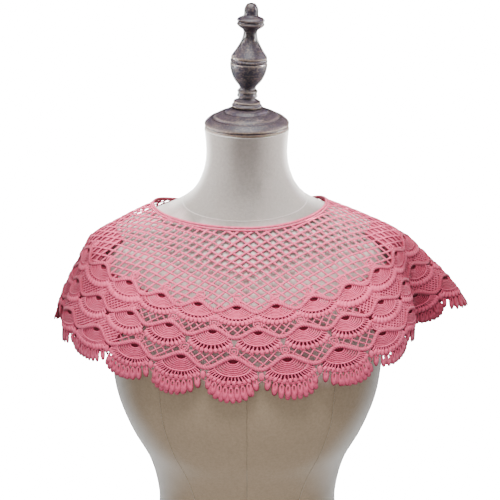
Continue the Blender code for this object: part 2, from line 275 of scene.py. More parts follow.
class ThreadWork:
    """Collects cords and knots, and joins them into one mesh."""

    def __init__(self):
        self.points, self.faces, self.maps, self.raised, self.count = [], [], [], [], 0

    def add(self, points, faces, face_maps, raised):
        self.points.append(points)
        self.raised.append(raised)
        self.faces.append(faces + self.count)
        self.maps.append(face_maps)
        self.count += len(points)

    def cord(self, repeat, down, lift, half_width, half_height, sides=8, twist=0.0, depth=1.0):
        """An oval cord along a path on the cloth. A depth below 1 paints it darker, as painted shade."""
        centre, out = on_cloth(repeat, down, lift)
        # Painted shade: darker by the depth, and in the folds past the shoulders
        tone = depth * (1 - FOLD_SHADE * folded(repeat, down))
        self.tube(centre, out, half_width, half_height, sides, twist, tone[:, None])

    def tube(self, centre, out, half_width, half_height, sides, twist=0.0, tone=1.0):
        """A closed tube. Its three strands turn once in the length twist, and 0 is for a plain cord."""
        number = len(centre)
        along = unit(np.gradient(centre, axis=0))
        side = unit(np.cross(out, along))
        out = np.cross(along, side)
        length = np.concatenate([[0], np.cumsum(steps_of(centre))])
        turn = np.linspace(0, 2 * pi, sides, endpoint=False)
        strand = np.ones((number, sides))
        if twist:
            strand = np.abs(np.cos(1.5 * (turn - 2 * pi * length[:, None] / twist)))
        swell = 1 - STRAND_GROOVE * (1 - strand)
        wide = (np.broadcast_to(half_width, number)[:, None] * np.cos(turn) * swell)[..., None]
        high = (np.broadcast_to(half_height, number)[:, None] * np.sin(turn) * swell)[..., None]
        points = (centre[:, None] + wide * side[:, None] + high * out[:, None]).reshape(-1, 3)
        # Painted shade: low round the tube and in the grooves between strands the colour is darker
        raised = tone * (0.5 + 0.5 * np.sin(turn)) * (1 - GROOVE_SHADE * (1 - strand))
        ring, step = np.arange(number - 1)[:, None] * sides, np.arange(sides)[None, :]
        after = (step + 1) % sides
        walls = np.stack([ring + step, ring + after, ring + sides + after, ring + sides + step], axis=-1)
        first = np.array([(0, i + 2, i + 1, i) for i in range(1, sides - 1, 2)])
        last = np.array([(0, i, i + 1, i + 2) for i in range(1, sides - 1, 2)]) + (number - 1) * sides
        faces = np.concatenate([walls.reshape(-1, 4), first, last])
        girth = pi * (np.max(half_width) + np.max(half_height))
        u0, u1 = length[:-1, None] + 0 * step, length[1:, None] + 0 * step
        v0, v1 = 0 * u0 + step * girth / sides, 0 * u0 + (step + 1) * girth / sides
        maps = np.stack([np.stack(pair, -1) for pair in ((u0, v0), (u0, v1), (u1, v1), (u1, v0))], axis=-2)
        ends = np.zeros((len(first) + len(last), 4, 2))
        self.add(points, faces, np.concatenate([maps.reshape(-1, 4, 2), ends]), raised.ravel())

    def knots(self, shape, repeat, down, lift, tilt=0.0, size=1.0, depth=1.0):
        """Copies of one small shape, set on the cloth and turned in its plane."""
        repeat, down = np.broadcast_arrays(repeat, down)
        tilt = np.broadcast_to(tilt, repeat.shape)[:, None]
        place, out = on_cloth(repeat, down, lift)
        across = unit(on_sheet(repeat + KNOT_ROUND, down) - on_sheet(repeat - KNOT_ROUND, down))
        below = unit(np.cross(across, out))
        right = across * np.cos(tilt) + below * np.sin(tilt)
        foot = below * np.cos(tilt) - across * np.sin(tilt)
        # Painted shade: darker by the depth, and in the folds past the shoulders
        tone = depth * (1 - FOLD_SHADE * folded(repeat, down))
        corners, faces = shape
        faces = faces[:, [0, 3, 2, 1]]  # right, foot and out mirror the shape, so its faces are turned back
        low, high = corners[:, 2].min(), corners[:, 2].max()
        # Painted shade: the lower part of each knot is darker
        raised = (corners[:, 2] - low) / (high - low)
        spot = corners * size
        for k in range(len(repeat)):
            points = place[k] + spot[:, :1] * right[k] + spot[:, 1:2] * foot[k] + spot[:, 2:] * out[k]
            self.add(points, faces, corners[faces][..., :2], raised * tone[k])

    def finish(self, name, material):
        """All of it as one piece, with its thread map and how far up its cord each point is, for the painted
        shade.
        """
        faces = np.concatenate(self.faces)
        mesh = bpy.data.meshes.new(name)
        mesh.vertices.add(self.count)
        mesh.vertices.foreach_set("co", (np.concatenate(self.points) * MM).astype(np.float32).ravel())
        mesh.loops.add(faces.size)
        mesh.loops.foreach_set("vertex_index", faces.astype(np.int32).ravel())
        mesh.polygons.add(len(faces))
        mesh.polygons.foreach_set("loop_start", np.arange(0, faces.size, 4, dtype=np.int32))
        mesh.update(calc_edges=True)
        mesh.validate()
        layer = mesh.uv_layers.new(name="thread")
        layer.data.foreach_set("uv", np.concatenate(self.maps).astype(np.float32).ravel())
        raised = mesh.attributes.new("raised", "FLOAT", "POINT")
        raised.data.foreach_set("value", np.concatenate(self.raised).astype(np.float32))
        return piece_of(mesh, THREAD_CREASE, material)


# %% [markdown]
# ## Knots and petals
# Below each ladder sits a row of fat little puffs, and the hem ends in petals with a tiny loop hole. Behind
# each gap between two petals hangs a plain drop. They start from bmesh operators: puffs, knobs and drops
# are a subdivided cube pushed out to a cushion, and a petal is a circle drawn out to a drop, extruded
# inwards to its hole and given a thickness with solidify.

# %% Puff, knob, drop and petal shapes
CUSHION_BALL, CUSHION_ROUND = 1.15, 0.86  # size of the ball, and how far the cube is drawn to it
PETAL_SIDES, PETAL_LENGTH = 14, 20.5
PETAL_TOP = 0.72  # width of a petal at its top, as a share of its full width
PETAL_WALL = 0.45  # as a share of its height
PETAL_LOOPS = (
    # size, shift down by half the length, height by the thickness
    (0.80, 0.0, 0.55), (0.42, -0.18, 0.85), (0.25, -0.34, 0.30),
)


def quads_of(work):
    """A bmesh as corners in millimetres and four-sided faces."""
    work.verts.index_update()
    bmesh.ops.recalc_face_normals(work, faces=work.faces[:])
    corners = np.array([vert.co[:] for vert in work.verts])
    faces = np.array([[vert.index for vert in face.verts] for face in work.faces])
    work.free()
    return corners, faces


def cushion(half_across, half_down, half_high):
    work = bmesh.new()
    bmesh.ops.create_cube(work, size=2.0)
    bmesh.ops.subdivide_edges(work, edges=work.edges[:], cuts=2, use_grid_fill=True)
    for vert in work.verts:
        vert.co = vert.co.lerp(vert.co.normalized() * CUSHION_BALL, CUSHION_ROUND)
    bmesh.ops.scale(work, verts=work.verts[:], vec=(half_across, half_down, half_high))
    return quads_of(work)


def petal(width, length, thick):
    """A drop with its top at y = 0 and its tip at y = length, with a hole near the top."""
    work = bmesh.new()
    bmesh.ops.create_circle(work, segments=PETAL_SIDES, radius=1.0, cap_ends=False)
    edges = work.edges[:]
    middle = Vector((0, length / 2, 0))
    for vert in work.verts:
        low = (1 + vert.co.y) / 2
        narrow = PETAL_TOP + (1 - PETAL_TOP) * low
        vert.co = Vector((vert.co.x * width / 2 * narrow, length * low, 0))
    for size, shift, rise in PETAL_LOOPS:
        made = bmesh.ops.extrude_edge_only(work, edges=edges)["geom"]
        edges = [item for item in made if isinstance(item, bmesh.types.BMEdge) and item.is_boundary]
        for vert in {vert for edge in edges for vert in edge.verts}:
            way = (Vector((vert.co.x, vert.co.y, 0)) - middle).normalized()
            vert.co = middle + Vector((way.x * width / 2, way.y * length / 2, 0)) * size
            vert.co.y += shift * length / 2
            vert.co.z = rise * thick
    bmesh.ops.recalc_face_normals(work, faces=work.faces[:])
    bmesh.ops.solidify(work, geom=work.faces[:], thickness=thick * PETAL_WALL)
    return quads_of(work)


PUFF = cushion(2.2, 3.1, 1.45)
KNOB = cushion(3.0, 4.9, 1.6)
DROP = cushion(3.3, 6.6, 1.3)
PETAL = petal(9.4, PETAL_LENGTH, 1.6)
print("faces of a puff, knob, drop and petal:", [len(shape[1]) for shape in (PUFF, KNOB, DROP, PETAL)])

# %% [markdown]
# ## Tools for materials
# Every material here is a few textures that are stretched, mixed and fed to one shader. Small helpers make
# each kind of node and wire it up, so that a finish below reads as a recipe. Noise reads the piece's own
# coordinates, so a pattern stays where it is when the piece is moved.

# %% Nodes
def feed(tree, socket, value):
    """Sets a socket to a value, or links another node's output to it."""
    if isinstance(value, bpy.types.NodeSocket):
        tree.links.new(value, socket)
    else:
        socket.default_value = value


def wire(tree, kind, **settings):
    """A new shader node. A setting is one of its sockets, or else one of its own properties."""
    made = tree.nodes.new(f"ShaderNode{kind}")
    for key, value in settings.items():
        if key in made.inputs:
            feed(tree, made.inputs[key], value)
        else:
            setattr(made, key, value)
    return made


def maths(tree, operation, *values):
    made = wire(tree, "Math", operation=operation)
    for socket, value in zip(made.inputs, values):
        feed(tree, socket, value)
    return made.outputs[0]


def mixed(tree, factor, one, other, blend="MIX"):
    """A mix of two colours."""
    made = wire(tree, "Mix", data_type="RGBA", blend_type=blend)
    for socket, value in zip((made.inputs[0], made.inputs[6], made.inputs[7]), (factor, one, other)):
        feed(tree, socket, value)
    return made.outputs[2]


def noise(tree, scale, detail, roughness, place=None):
    if place is None:
        place = wire(tree, "TexCoord").outputs["Object"]
    made = wire(tree, "TexNoise", Vector=place, Scale=scale, Detail=detail, Roughness=roughness)
    return made.outputs["Fac"]


def ranged(tree, value, low, high, interpolation="SMOOTHSTEP", to=(0.0, 1.0)):
    """The value, stretched from low and high to the two ends of another range."""
    made = wire(tree, "MapRange", interpolation_type=interpolation, Value=value)
    for label, limit in zip(("From Min", "From Max", "To Min", "To Max"), (low, high, *to)):
        made.inputs[label].default_value = limit
    return made.outputs["Result"]


def node_group(name, inputs, outputs):
    """A new shader group with these named sockets, and the sockets inside it."""
    group = bpy.data.node_groups.new(name, "ShaderNodeTree")
    for way, sockets in (("INPUT", inputs), ("OUTPUT", outputs)):
        for label, kind in sockets.items():
            group.interface.new_socket(label, in_out=way, socket_type=f"NodeSocket{kind}")
    return group, group.nodes.new("NodeGroupInput").outputs, group.nodes.new("NodeGroupOutput").inputs


def new_material(name, finish):
    """A material, its nodes and its shader, with the shader's own sockets set."""
    material = bpy.data.materials.new(name)
    material.use_nodes = True
    tree = material.node_tree
    shader = tree.nodes["Principled BSDF"]
    for label, value in finish.items():
        shader.inputs[label].default_value = value
    return material, tree, shader


def from_group(tree, group, values):
    """The outputs of a group that is placed in a material with these values."""
    made = tree.nodes.new("ShaderNodeGroup")
    made.node_tree = group
    for label, value in values.items():
        made.inputs[label].default_value = (*value, 1) if isinstance(value, tuple) else value
    return made.outputs


def bumped(tree, shader, height, distance, strength=1.0):
    bump = wire(tree, "Bump", Strength=strength, Distance=distance, Height=height)
    feed(tree, shader.inputs["Normal"], bump.outputs["Normal"])


# %% [markdown]
# ## Colours of cotton
# Three things make lace look like thread: the stitches that wrap each cord, a little unevenness of the dye,
# and a soft sheen. The stitches and the dye are one node group with named inputs, because the cords, the
# fans and the net all use it at different scales. The stitches and fibres are also painted lighter where
# they stand up and darker between, a painted shade. The group also reads how far up its cord a point is,
# and paints a dark deep pink where the cord goes down into the gaps, which is painted shade.

# %% Group: stitched cotton
FULL_SHADE_TO, LIT_FROM = 0.36, 1.0  # where the full painted shade ends up the cord, and where the cord's own colour is full


def stitched_cotton():
    group, given, made = node_group(
        "stitched cotton",
        {"Light": "Color", "Deep": "Color", "Painted Shade": "Color", "Stitch": "Float", "Slant": "Float"},
        {"Colour": "Color", "Height": "Float"},
    )
    thread_map = wire(group, "UVMap", uv_map="thread").outputs["UV"]
    thread = wire(group, "SeparateXYZ", Vector=thread_map).outputs
    slanted = maths(group, "MULTIPLY", thread["Y"], given["Slant"])
    turns = maths(group, "DIVIDE", maths(group, "ADD", thread["X"], slanted), given["Stitch"])
    wave = maths(group, "SINE", maths(group, "MULTIPLY", turns, 2 * pi))
    stitch = maths(group, "MULTIPLY_ADD", wave, 0.5, 0.5)
    fuzz = noise(group, 1500.0, 2.0, 0.7)
    uneven = maths(group, "MULTIPLY_ADD", noise(group, 230.0, 4.0, 0.65), 3.2, -1.0)
    # Painted shade: stitches and fibres lighter where they stand up, darker between; the noise is uneven dye
    relief_shade = maths(group, "MULTIPLY_ADD", fuzz, 0.55, maths(group, "MULTIPLY", stitch, 0.45))
    dye_and_relief_shade = maths(group, "MULTIPLY", maths(group, "ADD", uneven, relief_shade), 0.5)
    dye_and_relief_shade.node.use_clamp = True
    top = mixed(group, dye_and_relief_shade, given["Deep"], given["Light"])
    # Painted shade: low on each cord the colour turns to the dark deep pink
    raised = wire(group, "Attribute", attribute_name="raised").outputs["Fac"]
    lit = ranged(group, raised, FULL_SHADE_TO, LIT_FROM)
    feed(group, made["Colour"], mixed(group, lit, given["Painted Shade"], top))
    feed(group, made["Height"], maths(group, "MULTIPLY", maths(group, "ADD", stitch, fuzz), 0.6))
    return group


COTTON = stitched_cotton()
print("group:", COTTON.name)

# %% [markdown]
# The three threads are the same cotton. The wavy cords have short stitches on a slant, the ribs of the fans
# have none of that slant, and the net is a longer, looser twist. Sheen is the soft light on the fibre ends.

# %% Cotton thread
COTTON_FINISH = {
    "Roughness": 0.72, "Sheen Weight": 0.12, "Sheen Roughness": 0.4, "Sheen Tint": (1.0, 0.72, 0.78, 1)
}
STITCH_RELIEF = 0.3 * MM
# The dark deep pink painted low on each cord, a painted shade
PAINTED_SHADE_PINK = (0.19, 0.001, 0.020)


def cotton(name, light, deep, stitch, slant):
    """Thread with stitches of this length in millimetres, which lean by the slant."""
    material, tree, shader = new_material(name, COTTON_FINISH)
    values = {"Light": light, "Deep": deep, "Painted Shade": PAINTED_SHADE_PINK, "Stitch": stitch, "Slant": slant}
    thread = from_group(tree, COTTON, values)
    feed(tree, shader.inputs["Base Color"], thread["Colour"])
    bumped(tree, shader, thread["Height"], STITCH_RELIEF)
    return material


ROPE_PINK = cotton("satin-stitched cord", (0.95, 0.14, 0.28), (0.56, 0.04, 0.105), 0.75, 0.25)
FAN_PINK = cotton("ribbed fan", (0.97, 0.145, 0.29), (0.62, 0.04, 0.11), 0.7, 0.0)
NET_PINK = cotton("twisted net thread", (0.96, 0.15, 0.29), (0.52, 0.035, 0.10), 1.3, 0.9)
print("threads:", ROPE_PINK.name, FAN_PINK.name, NET_PINK.name)

# %% [markdown]
# ## Where the pattern lies
# The border repeats all round, so a few short functions say where everything is. The wavy cord crests over
# each fan and dips between two. A fan is a set of half ovals hung from that cord, and the same ovals,
# further out, carry the ladder, the puffs and the petals.

# %% Pattern of the border
Tier = namedtuple("Tier", "rope wave fan_at width half depth ladder rungs tone closer")
TIERS = (
    # rope and wave: middle of the wavy cord and height of its waves
    # fan_at and width: fans' place in a repeat, and millimetres to a repeat
    # half and depth: half width in repeats and depth of a fan's edge
    # ladder and rungs: height and number of the bars; tone: the ribs' painted shade, deepest on the lowest
    # fans
    # closer: thickness of the fine net below over the shoulders, by that in front
    Tier(97.5, 5.5, 0.5, 47.0, 0.400, 19.8, 4.4, 13, 0.94, 1.10),
    Tier(131.5, 5.5, 0.0, 53.0, 0.360, 20.4, 5.0, 14, 0.93, 1.45),
    Tier(167.0, 7.0, 0.5, 60.0, 0.335, 22.0, 5.9, 17, 0.82, None),
)
QUARTER, JOIN = REPEATS / 4, SEAM + PHASE
HALVES = (
    # name, first and last repeat
    ("front", JOIN - QUARTER, JOIN + QUARTER),
    ("back", JOIN + QUARTER, JOIN + 3 * QUARTER),
)


def from_fan(repeat, tier):
    return nearest(repeat - PHASE - tier.fan_at, 1.0)


def rope_line(repeat, tier):
    return tier.rope - tier.wave * np.cos(2 * pi * from_fan(repeat, tier))


def hung(tier, depth, half, share):
    """How far down a half oval is that hangs from the wavy cord. Share: 0 at its ends, 1 in the middle."""
    end = tier.rope - tier.wave * cos(2 * pi * min(half, 0.5))
    return end + (tier.rope - tier.wave + depth - end) * share


def arc(tier, centre, depth, half, angles):
    """Places on such a half oval at these angles, 0 on the right to pi on the left."""
    return centre + half * np.cos(angles), hung(tier, depth, half, np.sin(angles))


def beyond(tier, out):
    """Depth and half width of the oval this many millimetres outside the fan's edge rib."""
    return tier.depth + out, tier.half + out / tier.width


def half_turn(margin, number):
    """Angles from this share of a half turn to as much before its end."""
    return np.linspace(margin * pi, (1 - margin) * pi, number)


def fan_centres(tier, ends):
    first = np.ceil(ends[0] - PHASE - tier.fan_at)
    return first + PHASE + tier.fan_at + np.arange(REPEATS // 2)


print("fans of the front half:", [len(fan_centres(tier, HALVES[0][1:])) for tier in TIERS])

# %% [markdown]
# ## The wavy cords
# Three thick cords run right round the collar, and they are its highest and brightest thread. Each is three
# strands wrapped in satin stitch and twisted together. We lay one long oval cord and let its outline swell
# over each strand, which is far lighter than three tubes and looks the same from a step away.

# %% Wavy cords
ROPE_HALF_WIDTH, ROPE_HALF_HEIGHT = 3.0, 1.75
ROPE_TWIST = 9.6  # length of one turn of the strands
ROPE_SUNK = 0.1  # how far the cord is pressed into the cloth's inner face
ROPE_STEPS = 64  # to a repeat


def lay_ropes(work, ends):
    repeat = np.linspace(*ends, REPEATS // 2 * ROPE_STEPS + 1)
    lift, size = ROPE_HALF_HEIGHT - ROPE_SUNK, (ROPE_HALF_WIDTH, ROPE_HALF_HEIGHT)
    for tier in TIERS:
        work.cord(repeat, rope_line(repeat, tier), lift, *size, sides=12, twist=ROPE_TWIST)


# %% [markdown]
# ## The fans
# Each fan has six ribs side by side round a small eye, closed below by a rounder edge rib. The ribs are laid
# as separate cords, because real ribs have a groove between them that catches shade. They thin out a little
# towards their ends. They are painted darker than the edge rib, most on the lowest fans: a painted shade.

# %% Fans
RIBS = 6
EYE_AT = 8.8  # middle of the first rib, below the middle of the cord's crest
EYE_HALF = 0.36  # width of the first rib, as a share of the edge rib
RIB_WIDE, RIB_HIGH = 0.56, 1.15  # half width by the space between ribs, and half height
EDGE_RIB = (1.15, 1.5)  # half width and half height
RIB_THIN = 0.12  # share of its width that a rib loses towards its ends
RIB_LIFT = 0.05  # of its underside


def lay_fans(work, tier, centres):
    pitch = (tier.depth - EYE_AT) / RIBS
    angles = half_turn(0.03, 21)
    slim = 1 - RIB_THIN * (1 - np.sin(angles))
    for centre in centres:
        for rib in range(RIBS + 1):
            half = tier.half * (EYE_HALF + (1 - EYE_HALF) * rib / RIBS)
            repeat, down = arc(tier, centre, EYE_AT + pitch * rib, half, angles)
            wide, high = (pitch * RIB_WIDE, RIB_HIGH) if rib < RIBS else EDGE_RIB
            # Painted shade: ribs inside the edge rib are darker by the tier's tone
            tone = tier.tone if rib < RIBS else 1.0
            work.cord(repeat, down, high + RIB_LIFT, wide * slim, high, depth=tone)


# %% [markdown]
# ## Ladders and shade cords
# Short bars stand out from the fan's edge like the rungs of a bent ladder, with small dark gaps in between.
# The eyes and the gaps look dark although the form behind is pale, so each gets a flat dark cord just inside
# the cloth, which stands for the shade there: a painted shade. Over the shoulders the lace is gathered, and
# there the bars are thicker.

# %% Ladders and shade cords
GATHERED = (2.7, 9.0)  # repeats from the front between which the threads are worked closer
GATHERED_BAR, GATHERED_PUFF = 1.4, 1.25  # sizes there, by those in front
LADDER_SUNK, LADDER_OVER = 0.4, 1.0  # where the bars begin, and how far they reach into the puffs
BAR_WIDE, BAR_HIGH = np.array([1.1, 1.0, 1.2]), 1.45  # half width along a bar, and half height
BAR_LIFT = 1.35
# Flat dark cords that stand for the shade in the eyes and gaps, a painted shade: lift, half height, tone
SHADE_CORD_LIFT, SHADE_CORD_HIGH, SHADE_CORD_TONE = -0.8, 0.4, 0.46
EYE_SHADE_WIDE, EYE_SHADE_AT = 1.15, 0.55  # by the first rib's width, and by how far down that rib is
GAP_SHADE_OVER = 1.2  # how far the shade cord of a ladder reaches past it on both sides


def is_gathered(repeat):
    """Whether a place lies over a shoulder, where the net and the ladders are worked closer."""
    return (from_front(repeat) > GATHERED[0]) & (from_front(repeat) < GATHERED[1])


def lay_ladders(work, tier, centres):
    ovals = beyond(tier, LADDER_SUNK), beyond(tier, tier.ladder + LADDER_OVER)
    reach = np.array([0.0, 0.5, 1.0])
    for centre in centres:
        wide = BAR_WIDE * (GATHERED_BAR if is_gathered(centre) else 1.0)
        for angle in half_turn(0.11, tier.rungs):
            near, far = (np.array(arc(tier, centre, *oval, angle))[:, None] for oval in ovals)
            work.cord(*(near + (far - near) * reach), BAR_LIFT, wide, BAR_HIGH, sides=6)


def lay_shade_cords(work, tier, centres):
    """Thin dark cords at the back of each eye and each ladder: painted shade where the gaps look dark."""
    across = np.linspace(-1, 1, 9) * tier.half * EYE_HALF * EYE_SHADE_WIDE
    oval, angles = beyond(tier, tier.ladder / 2), half_turn(0.08, 21)
    for centre in centres:
        eye = centre + across, rope_line(centre + across, tier) + EYE_SHADE_AT * EYE_AT
        gaps = arc(tier, centre, *oval, angles)
        for place, wide in ((eye, EYE_AT / 2), (gaps, tier.ladder / 2 + GAP_SHADE_OVER)):
            work.cord(*place, SHADE_CORD_LIFT, wide, SHADE_CORD_HIGH, sides=6, depth=SHADE_CORD_TONE)


# %% [markdown]
# ## Puffs, petals and knobs
# The outer ends of the bars sink into a row of puffs, and a thin cord under the puffs joins them. At the hem
# nine petals stand on each fan with eight plain drops behind them, so the gaps between petals are half
# filled. Petals, drops and their cord follow the scallop, a half oval, and a knob on two threads fills the
# notch between two scallops.

# %% Puffs, petals and knobs
PUFFS, PUFFS_OUT = 12, 2.3  # number on a fan, and how far beyond the ladder
PUFF_LIFT, PUFF_TURN = 1.25, 0.75  # a puff turns with the oval, by this share
PUFF_CORD, PETAL_CORD = (0.8, 1.3, 0.7), (0.8, 1.6, 0.7)  # lift, half width and half height
PETALS, PETAL_SPREAD = 9, 0.365  # number on a fan, and half width of their row in repeats
PETAL_TIP, SCALLOP = 213.0, 23.5  # how far down the lowest tip is, and how far the scallop rises to a notch
SCALLOP_TIGHT = 1.2  # the petals' row is this much rounder than the scallop
PETAL_TILT = radians(11)  # of the outermost petals
PETAL_LIFT, PETAL_LIFT_MORE = 0.6, 0.35  # every other petal lies higher
# Painted shade: petals a little darker, and the drops behind them darker still
PETAL_SHADE, DROP_SHADE = 0.92, 0.78
DROP_UP, DROP_LIFT = 5.2, 0.5  # middle of a drop above the petals' tips, and its lift
PETAL_CORD_SUNK = 1.2  # how far below the petals' tops their cord lies
KNOB_DOWN, KNOB_LIFT = 182.5, 1.4
KNOB_THREAD_OFF = np.array([0.02, 0.06, 0.11])  # repeats from the notch
KNOB_THREAD_DOWN = np.array([188.0, 189.6, 192.0])
KNOB_THREAD = (1.1, 0.65, 0.65)  # lift, half width and half height


def lay_puffs(work, tier, centres):
    oval = beyond(tier, tier.ladder + PUFFS_OUT)
    angles = half_turn(0.17, PUFFS)
    tilt = (angles - pi / 2) * PUFF_TURN
    for centre in centres:
        size = GATHERED_PUFF if is_gathered(centre) else 1.0
        work.knots(PUFF, *arc(tier, centre, *oval, angles), PUFF_LIFT, tilt=tilt, size=size)
        work.cord(*arc(tier, centre, *oval, half_turn(0.13, 25)), *PUFF_CORD, sides=6)


def hem_line(off):
    """How far down the scallop is, this many repeats from the middle of a fan."""
    return PETAL_TIP - SCALLOP * (1 - np.sqrt(np.maximum(0.0, 1 - (off / 0.5) ** 2)))


def lay_petals(work, centres):
    share = np.linspace(-1, 1, PETALS)
    off, tilt = PETAL_SPREAD * share, -PETAL_TILT * share
    between, lean = (off[1:] + off[:-1]) / 2, (tilt[1:] + tilt[:-1]) / 2
    row = np.linspace(-PETAL_SPREAD, PETAL_SPREAD, 15)
    row_down, drop_down, tips = (hem_line(place * SCALLOP_TIGHT) for place in (row, between, off))
    lift = PETAL_LIFT + PETAL_LIFT_MORE * (np.arange(PETALS) % 2)
    for centre in centres:
        work.cord(centre + row, row_down - PETAL_LENGTH + PETAL_CORD_SUNK, *PETAL_CORD, sides=6)
        # The drops behind the petals are painted darker, a painted shade
        work.knots(DROP, centre + between, drop_down - DROP_UP, DROP_LIFT, tilt=lean, depth=DROP_SHADE)
        tops = tips - PETAL_LENGTH * np.cos(tilt)
        work.knots(PETAL, centre + off, tops, lift, tilt=tilt, depth=PETAL_SHADE)


def lay_knobs(work, centres):
    work.knots(KNOB, centres + 0.5, KNOB_DOWN, KNOB_LIFT)
    for notch in centres + 0.5:
        for side in (-1, 1):
            work.cord(notch + side * KNOB_THREAD_OFF, KNOB_THREAD_DOWN, *KNOB_THREAD, sides=6)


# %% [markdown]
# ## Tabs and fine net
# A small square loop stands on the crest of each wavy cord, under the notch of the tier above. Fine
# crossing threads tie the puffs of one tier to the cord of the next. In front they leave an open window on
# each side of that loop, and over the shoulders, where the lace is gathered, they are thicker and twice as
# close. Each stretch of a line that lies between the puffs and the next cord becomes one thread.

# %% Tabs and fine net
TAB, TAB_HIGH = 4.8, 0.9  # half width of a tab, and its height by that
TAB_SQUARE = 0.62  # power that turns a circle to a square with round corners
TAB_HOLE, TAB_HOLE_DOWN = 0.45, 0.5  # size of the inner loop, and how far lower it is
TAB_SUNK = 0.3  # how far a tab's foot is under the wavy cord
TAB_CORD, TAB_HOLE_CORD = (1.2, 1.15, 1.05), (1.0, 1.0, 0.8)  # lift, half width and half height
FINE_CELLS, FINE_DROP = 5, 10.5  # crossings of the fine net to a repeat, and millimetres down to the next
FINE_FROM = 4.0  # how far beyond the ladder the net begins
FINE_HALF = 0.40  # repeats from the middle of a fan that the net reaches in front
FINE_WIDE, FINE_HIGH = 0.92, 0.75  # half sizes of a thread
FINE_LIFT, FINE_WEAVE = 0.95, 0.2  # middle of the threads, and how far one set lies over the other
FINE_STEP = 0.75


def lay_tabs(work, tier, centres):
    turn = np.linspace(0, 2 * pi, 17)
    square = 1 / np.maximum(np.abs(np.cos(turn)), np.abs(np.sin(turn))) ** TAB_SQUARE
    across, below = TAB * np.sin(turn) * square / tier.width, -TAB * TAB_HIGH * np.cos(turn) * square
    for centre in centres:
        middle = rope_line(centre, tier) - ROPE_HALF_WIDTH - TAB * TAB_HIGH + TAB_SUNK
        work.cord(centre + across, middle + below, *TAB_CORD, sides=6)
        inner = middle + TAB_HOLE_DOWN + below * TAB_HOLE
        work.cord(centre + across * TAB_HOLE, inner, *TAB_HOLE_CORD, sides=6)


def runs_of(inside, shortest):
    """First and last index of each run of places that are inside, if it is longer than the shortest."""
    edges = np.diff(np.concatenate([[0], inside.astype(int), [0]]))
    runs = zip(np.flatnonzero(edges == 1), np.flatnonzero(edges == -1))
    return [(first, last) for first, last in runs if last - first > shortest]


def lines_across(ends, cells, spare):
    """Numbers of the slanting lines that can cross a half of the collar."""
    return range(int(ends[0] * cells) - spare, int(ends[1] * cells) + spare)


def lay_fine_net(work, tier, tier_below, ends):
    depth, half = beyond(tier, tier.ladder + FINE_FROM)
    down = np.arange(tier.rope, tier_below.rope + tier_below.wave, FINE_STEP)
    for lean, closer in ((-1, False), (1, False), (-1, True), (1, True)):
        for line in lines_across(ends, FINE_CELLS, 30):
            repeat = (line + (0.0 if closer else 0.5) - lean * down / FINE_DROP) / FINE_CELLS
            off = from_fan(repeat, tier)
            gathered = is_gathered(repeat)
            foot = hung(tier, depth, half, np.sqrt(np.maximum(0, 1 - (off / half) ** 2)))
            inside = (down > foot) & (down < rope_line(repeat, tier_below))
            inside &= (repeat > ends[0]) & (repeat < ends[1])
            inside &= gathered if closer else gathered | (np.abs(off) < FINE_HALF)
            for first, last in runs_of(inside, 3):
                picks = np.linspace(first, last - 1, max(3, (last - first) // 3)).astype(int)
                full = np.where(gathered[picks], tier.closer, 1.0)
                lift = FINE_LIFT + FINE_WEAVE * lean
                work.cord(repeat[picks], down[picks], lift, FINE_WIDE * full, FINE_HIGH * full, sides=6)


# %% [markdown]
# Over each shoulder two layers of lace show through each other. A second, inner net of flat threads just
# inside the cloth stands for the lower one. Its threads are painted darker, as the shade on that inner
# layer, and darkest under the border.

# %% Inner net over the shoulders
LINED = (2.6, 7.6)  # repeats from the front between which there is an inner layer
LINED_FROM, BORDER_FROM = 55.0, 96.0  # where it begins, down over a shoulder, and where the border does
YOKE_LINED = 4.6  # above the border it begins this many repeats from the front
LINED_STEP, LINED_ABOVE_HEM = 3.5, 6.0
LINING_THREAD = (-0.5, 1.3, 0.5)  # lift, half width and half height
LINING_CELLS, LINING_DROP = 14, 4.0
LINING_SHADES = (0.8, 0.45)  # painted shade above the border and under it


def lay_lining_net(work, ends):
    """The second, inner layer of thread that shows through the openings over each shoulder."""
    down = np.arange(LINED_FROM, HEM - LINED_ABOVE_HEM / 2, LINED_STEP)
    tone = np.where(down < BORDER_FROM, *LINING_SHADES)
    for lean in (-1, 1):
        for line in lines_across(ends, LINING_CELLS, 40):
            repeat = (line + lean * down / LINING_DROP) / LINING_CELLS
            aside = from_front(repeat)
            inside = (aside > LINED[0]) & (aside < LINED[1]) & (repeat > ends[0]) & (repeat < ends[1])
            inside &= down < hem_line(from_fan(repeat, TIERS[-1])) - LINED_ABOVE_HEM
            inside &= (down > BORDER_FROM) | (aside > YOKE_LINED)
            for first, last in runs_of(inside, 2):
                run = slice(first, last)
                work.cord(repeat[run], down[run], *LINING_THREAD, sides=4, depth=tone[run])


# %% [markdown]
# ## The diamond net of the yoke
# The yoke is a plain net of crossing threads. Flat, it is part of a cone, and its threads run straight to
# both sides of the centre front, in diamonds that are wider than they are tall. So we draw straight lines
# in the flat cone and roll them onto the shoulders. A slow wobble keeps the lines from looking ruled, each
# thread swells and thins a little, and the threads pass over and under.

# %% Yoke net
YOKE_DOWN = 95.0
CONE_ANGLE = (ring_length(YOKE_DOWN) - ring_length(0)) / YOKE_DOWN  # radians, all round
CONE_INNER = ring_length(0) / CONE_ANGLE
MESH, MESH_SHIFT = 11.5, 0.35  # width of a cell, and the first line's place in it
FLATTENED = 0.65  # height of a diamond by its width
YOKE_REACH, YOKE_LINES = 405.0, 36  # half length of a line, and lines on each side of the first
NET_HALF_WIDTH, NET_HALF_HEIGHT = 1.42, 0.95
NET_LIFT, NET_WEAVE = 1.1, 0.34  # middle of a thread, and how far it goes over and under
NET_FROM, NET_STOPS = 2.0, 1.2  # where the net begins, and how far above the middle of the wavy cord it ends


